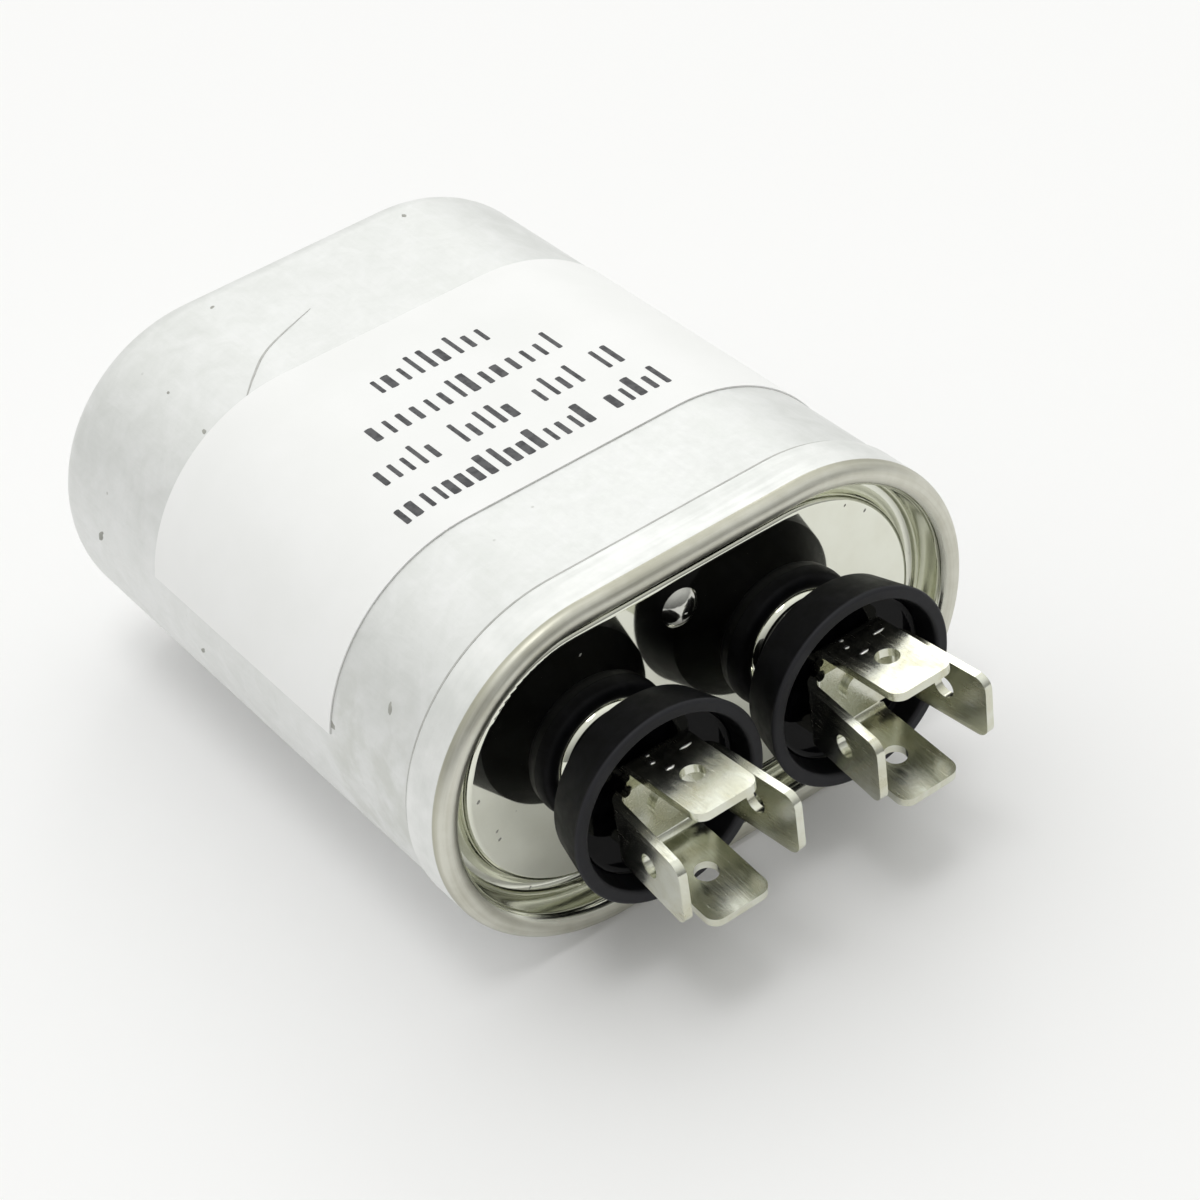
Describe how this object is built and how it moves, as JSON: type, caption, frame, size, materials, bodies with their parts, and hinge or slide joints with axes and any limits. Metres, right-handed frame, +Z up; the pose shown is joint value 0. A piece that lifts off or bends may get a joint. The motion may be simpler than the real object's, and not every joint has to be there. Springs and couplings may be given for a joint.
{
  "type": "motor run capacitor",
  "caption": "Oval metal-cased motor run capacitor lying on a broad side, with two insulated cup terminals that carry push-on blades.",
  "frame": {"origin": "middle of the bounding box in plan, on the surface the part lies on", "axes": "+X along the can from its closed end to the blades, +Y across the can's width, +Z up through its thickness"},
  "size_m": [0.0834, 0.0568, 0.0345],
  "materials": {
    "can": "drawn aluminium, satin with faint grey stains",
    "cover": "tin-plated steel sheet, bright in the recess and satin on the rolled bead",
    "seam_seal": "cured sealing compound",
    "label": "smooth white",
    "fill_plug": "bright solder",
    "cup": "black phenolic moulding, semi-matt",
    "resin": "glossy black sealing resin",
    "gasket": "pale rubber",
    "blades": "tinned, satin, warm grey",
    "rivet": "tinned",
    "inner_washer": "brown laminate",
    "solder_lug": "bare brass",
    "lead": "tinned copper strip",
    "interrupter_plate": "brown laminate",
    "winding": "metallised plastic film",
    "winding_core": "plastic",
    "end_spray": "sprayed metal",
    "winding_wrap": "insulating wrap",
    "bottom_pad": "pressboard"
  },
  "bodies": {
    "root": {"can": "can", "cover": "cover", "seam_seal": "seam_seal", "label": "label", "fill_plug": "fill_plug", "cup_a": "cup", "cup_b": "cup", "resin_a": "resin", "resin_b": "resin", "gasket_a": "gasket", "gasket_b": "gasket", "lower_blades_a": "blades", "lower_blades_b": "blades", "upper_blades_a": "blades", "upper_blades_b": "blades", "rivet_a": "rivet", "rivet_b": "rivet", "inner_washer_a": "inner_washer", "inner_washer_b": "inner_washer", "solder_lug_a": "solder_lug", "solder_lug_b": "solder_lug", "lead_a": "lead", "lead_b": "lead", "interrupter_plate": "interrupter_plate", "winding": "winding", "winding_core": "winding_core", "end_spray_top": "end_spray", "end_spray_bottom": "end_spray", "winding_wrap": "winding_wrap", "bottom_pad": "bottom_pad"}
  },
  "joints": []
}
